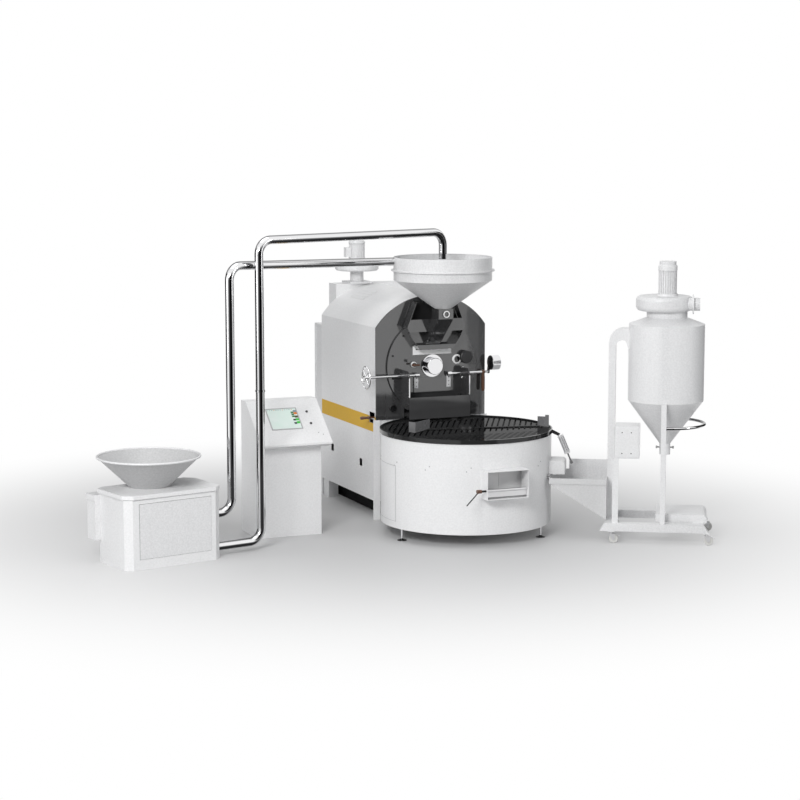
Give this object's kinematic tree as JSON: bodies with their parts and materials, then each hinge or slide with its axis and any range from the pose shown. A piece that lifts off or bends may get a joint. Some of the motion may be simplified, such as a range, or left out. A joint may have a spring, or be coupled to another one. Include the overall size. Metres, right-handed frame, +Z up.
{
  "type": "coffee roasting plant",
  "caption": "Production coffee roasting plant: drum roaster with feed hopper, round cooling tray, control cabinet, pneumatic bean loader with pipes, and a destoner with a cyclone on castors.",
  "frame": {"origin": "on the floor, under the middle of the whole plant's bounding box", "axes": "+X to the right along the row of machines, +Y away from the operator, into the roaster's depth, +Z up"},
  "size_m": [5.5445, 3.945, 2.7194],
  "materials": {
    "white_paint": "fine grain powder coat",
    "yellow_paint": "satin",
    "graphite": "gloss",
    "dark_mirror": "dark polished",
    "chrome": "polished",
    "steel": "brushed",
    "wood": "varnished",
    "black": "matt",
    "display": "lit display",
    "drum_iron": "rough"
  },
  "bodies": {
    "plant": {"roaster_frame": "white_paint", "roaster_shell": "white_paint", "side_stripes": "yellow_paint", "front_plate": "graphite", "face_bolts": "graphite", "rear_housing": "white_paint", "front_bearing": "chrome", "feed_hopper": "white_paint", "throat_box": "graphite", "feed_chute": "graphite", "chute_bracket": "white_paint", "sight_rings": "chrome", "lamp": "black", "discharge_chute": "graphite", "roof_fan_housing": "white_paint", "roof_fan_motor": "white_paint", "tray_wall": "white_paint", "tray_rim": "chrome", "tray_floor": "dark_mirror", "tray_feet": "black", "tray_window": "white_paint", "outlet_box": "white_paint", "gate_cylinder": "white_paint", "cabinet_body": "white_paint", "cabinet_desk": "white_paint", "screen": "display", "loader_body": "white_paint", "loader_lid": "white_paint", "loader_panel": "white_paint", "loader_dish": "white_paint", "feed_pipe": "chrome", "return_pipe": "chrome", "destoner_base": "white_paint", "destoner_posts": "white_paint", "destoner_intake": "white_paint", "riser_duct": "white_paint", "cyclone": "white_paint", "destoner_fan": "white_paint", "destoner_motor": "white_paint", "hoop_handle": "chrome", "control_box": "white_paint"},
    "drum": {"drum": "drum_iron"},
    "door": {"discharge_door": "steel", "door_grip": "wood"},
    "handwheel": {"handwheel": "chrome"},
    "trier": {"trier": "wood"},
    "gate": {"hopper_gate": "steel"},
    "damper": {"damper_lever": "wood"},
    "agitator": {"agitator": "dark_mirror"},
    "flap": {"tray_flap": "steel"},
    "gate_rod": {"gate_rod": "steel"},
    "valve": {"butterfly": "steel"},
    "start_button": {"start_button": "black"},
    "stop_button": {"stop_button": "black"},
    "fork_left": {"fork_left": "steel"},
    "fork_right": {"fork_right": "steel"},
    "wheel_left": {"wheel_left": "steel"},
    "wheel_right": {"wheel_right": "steel"},
    "wheel_rear_left": {"wheel_rear_left": "steel"},
    "wheel_rear_right": {"wheel_rear_right": "steel"}
  },
  "joints": [
    {"name": "drum_spin", "type": "hinge", "parent": "plant", "child": "drum", "pos_m": [0.69, 0.28, 1.425], "axis": [0, 1, 0], "continuous": true},
    {"name": "door_swing", "type": "hinge", "parent": "plant", "child": "door", "pos_m": [0.69, 0.214, 1.345], "axis": [1, 0, 0], "range_deg": [-60, 0]},
    {"name": "handwheel_turn", "type": "hinge", "parent": "plant", "child": "handwheel", "pos_m": [0.016, 0.214, 1.345], "axis": [1, 0, 0], "continuous": true},
    {"name": "trier_slide", "type": "slide", "parent": "plant", "child": "trier", "axis": [0, -1, 0], "range_m": [0, 0.2]},
    {"name": "gate_slide", "type": "slide", "parent": "plant", "child": "gate", "axis": [0, -1, 0], "range_m": [0, 0.11]},
    {"name": "damper_turn", "type": "hinge", "parent": "plant", "child": "damper", "pos_m": [0.285, 0.362, 0.95], "axis": [0, 0, 1], "range_deg": [-15, 15]},
    {"name": "agitator_spin", "type": "hinge", "parent": "plant", "child": "agitator", "pos_m": [0.69, -0.52, 0.938], "axis": [0, 0, 1], "continuous": true},
    {"name": "flap_turn", "type": "hinge", "parent": "plant", "child": "flap", "pos_m": [0.69, -1.375, 0.52], "axis": [1, 0, 0], "range_deg": [-60, 0]},
    {"name": "rod_slide", "type": "slide", "parent": "plant", "child": "gate_rod", "axis": [-0.3367, 0.1983, 0.9205], "range_m": [0, 0.045]},
    {"name": "valve_turn", "type": "hinge", "parent": "plant", "child": "valve", "pos_m": [2.22178, -1.42925, 0.807], "axis": [0.8616, -0.5075, 0], "range_deg": [0, 90]},
    {"name": "start_press", "type": "slide", "parent": "plant", "child": "start_button", "axis": [0, 0.6325, -0.7745], "range_m": [0, 0.004], "stiffness_N_per_m": 900},
    {"name": "stop_press", "type": "slide", "parent": "plant", "child": "stop_button", "axis": [0, 0.6325, -0.7745], "range_m": [0, 0.004], "stiffness_N_per_m": 900},
    {"name": "fork_left_swivel", "type": "hinge", "parent": "plant", "child": "fork_left", "pos_m": [1.64702, -1.5085, 0.09], "axis": [0, 0, 1], "continuous": true},
    {"name": "wheel_left_roll", "type": "hinge", "parent": "fork_left", "child": "wheel_left", "pos_m": [1.66598, -1.51967, 0.04], "axis": [0.5075, 0.8616, 0], "continuous": true},
    {"name": "fork_right_swivel", "type": "hinge", "parent": "plant", "child": "fork_right", "pos_m": [2.36217, -1.92976, 0.09], "axis": [0, 0, 1], "continuous": true},
    {"name": "wheel_right_roll", "type": "hinge", "parent": "fork_right", "child": "wheel_right", "pos_m": [2.38113, -1.94093, 0.04], "axis": [0.5075, 0.8616, 0], "continuous": true},
    {"name": "wheel_rear_left_roll", "type": "hinge", "parent": "plant", "child": "wheel_rear_left", "pos_m": [2.00095, -0.951, 0.04], "axis": [0.5075, 0.8616, 0], "continuous": true},
    {"name": "wheel_rear_right_roll", "type": "hinge", "parent": "plant", "child": "wheel_rear_right", "pos_m": [2.7161, -1.37225, 0.04], "axis": [0.5075, 0.8616, 0], "continuous": true}
  ]
}
